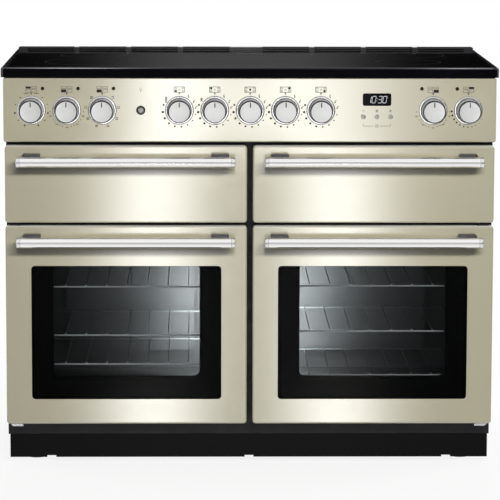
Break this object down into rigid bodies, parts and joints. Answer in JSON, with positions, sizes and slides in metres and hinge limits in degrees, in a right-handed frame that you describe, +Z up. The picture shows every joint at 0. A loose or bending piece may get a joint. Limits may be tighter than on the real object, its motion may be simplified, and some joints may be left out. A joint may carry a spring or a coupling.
{
  "type": "induction range cooker",
  "caption": "Free-standing wide range cooker: flat induction hob, row of control knobs, drop-down upper doors and side-hung glazed oven doors with tube handles on a plinth.",
  "frame": {"origin": "on the floor under the middle of the overall box, handles included", "axes": "+X to the right as seen from the front, +Y to the back, +Z up"},
  "size_m": [1.1, 0.648, 0.9],
  "materials": {
    "cream_enamel": "gloss vitreous enamel",
    "black_enamel": "gloss enamel",
    "hob_glass": "polished black ceramic glass",
    "charcoal_steel": "satin paint",
    "zinc_sheet": "galvanised sheet",
    "oven_enamel": "speckled dark enamel",
    "bright_wire": "bright plated wire",
    "satin_metal": "satin, spun on the knob faces",
    "bright_chrome": "mirror plated",
    "door_glass": "tinted toughened glass",
    "steel": "plain steel",
    "copper_winding": "varnished copper winding",
    "black_plastic": "fine matt",
    "red_lens": "clear dark red",
    "seal_rubber": "braided seal"
  },
  "bodies": {
    "carcass": {"fascia": "cream_enamel", "hob_frame": "black_enamel", "rear_vent_trim": "black_enamel", "plinth": "black_enamel", "hob_glass": "hob_glass", "front_frame": "charcoal_steel", "side_panels": "charcoal_steel", "rear_panel": "zinc_sheet", "base_tray": "zinc_sheet", "coil_tray": "zinc_sheet", "left_oven_liner": "oven_enamel", "right_oven_liner": "oven_enamel", "grill_liner": "oven_enamel", "slow_cook_liner": "oven_enamel", "fan_covers": "oven_enamel", "grill_pan": "oven_enamel", "oven_shelves": "bright_wire", "shelf_supports": "bright_wire", "grill_trivet": "bright_wire", "control_bezels": "bright_chrome", "door_hinges": "steel", "heating_elements": "steel", "fan_motors": "steel", "levelling_feet": "steel", "induction_coils": "copper_winding", "control_switches": "black_plastic", "clock_display": "black_plastic", "terminal_box": "black_plastic", "indicator_lenses": "red_lens", "door_seals": "seal_rubber"},
    "left_oven_door": {"left_oven_door_panel": "cream_enamel", "left_oven_door_inner": "oven_enamel", "left_oven_door_handle": "satin_metal", "left_oven_door_glass": "door_glass"},
    "right_oven_door": {"right_oven_door_panel": "cream_enamel", "right_oven_door_inner": "oven_enamel", "right_oven_door_handle": "satin_metal", "right_oven_door_glass": "door_glass"},
    "grill_door": {"grill_door_panel": "cream_enamel", "grill_door_inner": "oven_enamel", "grill_door_handle": "satin_metal"},
    "slow_cook_door": {"slow_cook_door_panel": "cream_enamel", "slow_cook_door_inner": "oven_enamel", "slow_cook_door_handle": "satin_metal"},
    "grill_knob": {"grill_knob": "satin_metal"},
    "left_oven_temperature_knob": {"left_oven_temperature_knob": "satin_metal"},
    "left_oven_function_knob": {"left_oven_function_knob": "satin_metal"},
    "left_front_zone_knob": {"left_front_zone_knob": "satin_metal"},
    "left_rear_zone_knob": {"left_rear_zone_knob": "satin_metal"},
    "centre_zone_knob": {"centre_zone_knob": "satin_metal"},
    "right_rear_zone_knob": {"right_rear_zone_knob": "satin_metal"},
    "right_front_zone_knob": {"right_front_zone_knob": "satin_metal"},
    "right_oven_temperature_knob": {"right_oven_temperature_knob": "satin_metal"},
    "slow_cook_knob": {"slow_cook_knob": "satin_metal"},
    "light_button": {"light_button": "satin_metal"},
    "clock_minus_button": {"clock_minus_button": "satin_metal"},
    "clock_mode_button": {"clock_mode_button": "satin_metal"},
    "clock_plus_button": {"clock_plus_button": "satin_metal"},
    "left_oven_fan": {"left_oven_fan": "steel"},
    "right_oven_fan": {"right_oven_fan": "steel"}
  },
  "joints": [
    {"name": "left_oven_door_hinge", "type": "hinge", "parent": "carcass", "child": "left_oven_door", "pos_m": [-0.5197, -0.261, 0.318], "axis": [0, 0, -1], "range_deg": [0, 105]},
    {"name": "right_oven_door_hinge", "type": "hinge", "parent": "carcass", "child": "right_oven_door", "pos_m": [0.5197, -0.261, 0.318], "axis": [0, 0, 1], "range_deg": [0, 105]},
    {"name": "grill_door_hinge", "type": "hinge", "parent": "carcass", "child": "grill_door", "pos_m": [-0.27395, -0.266, 0.56], "axis": [1, 0, 0], "range_deg": [0, 90]},
    {"name": "slow_cook_door_hinge", "type": "hinge", "parent": "carcass", "child": "slow_cook_door", "pos_m": [0.27395, -0.266, 0.56], "axis": [1, 0, 0], "range_deg": [0, 90]},
    {"name": "grill_knob_turn", "type": "hinge", "parent": "carcass", "child": "grill_knob", "pos_m": [-0.482, -0.276, 0.7985], "axis": [0, 1, 0], "range_deg": [-150, 150]},
    {"name": "left_oven_temperature_knob_turn", "type": "hinge", "parent": "carcass", "child": "left_oven_temperature_knob", "pos_m": [-0.404, -0.276, 0.7985], "axis": [0, 1, 0], "range_deg": [0, 270]},
    {"name": "left_oven_function_knob_turn", "type": "hinge", "parent": "carcass", "child": "left_oven_function_knob", "pos_m": [-0.326, -0.276, 0.7985], "axis": [0, 1, 0], "continuous": true},
    {"name": "left_front_zone_knob_turn", "type": "hinge", "parent": "carcass", "child": "left_front_zone_knob", "pos_m": [-0.156, -0.276, 0.7985], "axis": [0, 1, 0], "range_deg": [0, 305]},
    {"name": "left_rear_zone_knob_turn", "type": "hinge", "parent": "carcass", "child": "left_rear_zone_knob", "pos_m": [-0.078, -0.276, 0.7985], "axis": [0, 1, 0], "range_deg": [0, 305]},
    {"name": "centre_zone_knob_turn", "type": "hinge", "parent": "carcass", "child": "centre_zone_knob", "pos_m": [0, -0.276, 0.7985], "axis": [0, 1, 0], "range_deg": [0, 305]},
    {"name": "right_rear_zone_knob_turn", "type": "hinge", "parent": "carcass", "child": "right_rear_zone_knob", "pos_m": [0.078, -0.276, 0.7985], "axis": [0, 1, 0], "range_deg": [0, 305]},
    {"name": "right_front_zone_knob_turn", "type": "hinge", "parent": "carcass", "child": "right_front_zone_knob", "pos_m": [0.156, -0.276, 0.7985], "axis": [0, 1, 0], "range_deg": [0, 305]},
    {"name": "right_oven_temperature_knob_turn", "type": "hinge", "parent": "carcass", "child": "right_oven_temperature_knob", "pos_m": [0.404, -0.276, 0.7985], "axis": [0, 1, 0], "range_deg": [0, 270]},
    {"name": "slow_cook_knob_turn", "type": "hinge", "parent": "carcass", "child": "slow_cook_knob", "pos_m": [0.482, -0.276, 0.7985], "axis": [0, 1, 0], "range_deg": [0, 275]},
    {"name": "light_button_press", "type": "slide", "parent": "carcass", "child": "light_button", "axis": [0, 1, 0], "range_m": [0, 0.003], "stiffness_N_per_m": 300, "springref_m": -0.001},
    {"name": "clock_minus_button_press", "type": "slide", "parent": "carcass", "child": "clock_minus_button", "axis": [0, 1, 0], "range_m": [0, 0.0012], "stiffness_N_per_m": 400, "springref_m": -0.0005},
    {"name": "clock_mode_button_press", "type": "slide", "parent": "carcass", "child": "clock_mode_button", "axis": [0, 1, 0], "range_m": [0, 0.0012], "stiffness_N_per_m": 400, "springref_m": -0.0005},
    {"name": "clock_plus_button_press", "type": "slide", "parent": "carcass", "child": "clock_plus_button", "axis": [0, 1, 0], "range_m": [0, 0.0012], "stiffness_N_per_m": 400, "springref_m": -0.0005},
    {"name": "left_oven_fan_spin", "type": "hinge", "parent": "carcass", "child": "left_oven_fan", "pos_m": [-0.27395, 0.19, 0.32], "axis": [0, 1, 0], "continuous": true},
    {"name": "right_oven_fan_spin", "type": "hinge", "parent": "carcass", "child": "right_oven_fan", "pos_m": [0.27395, 0.19, 0.32], "axis": [0, 1, 0], "continuous": true}
  ]
}
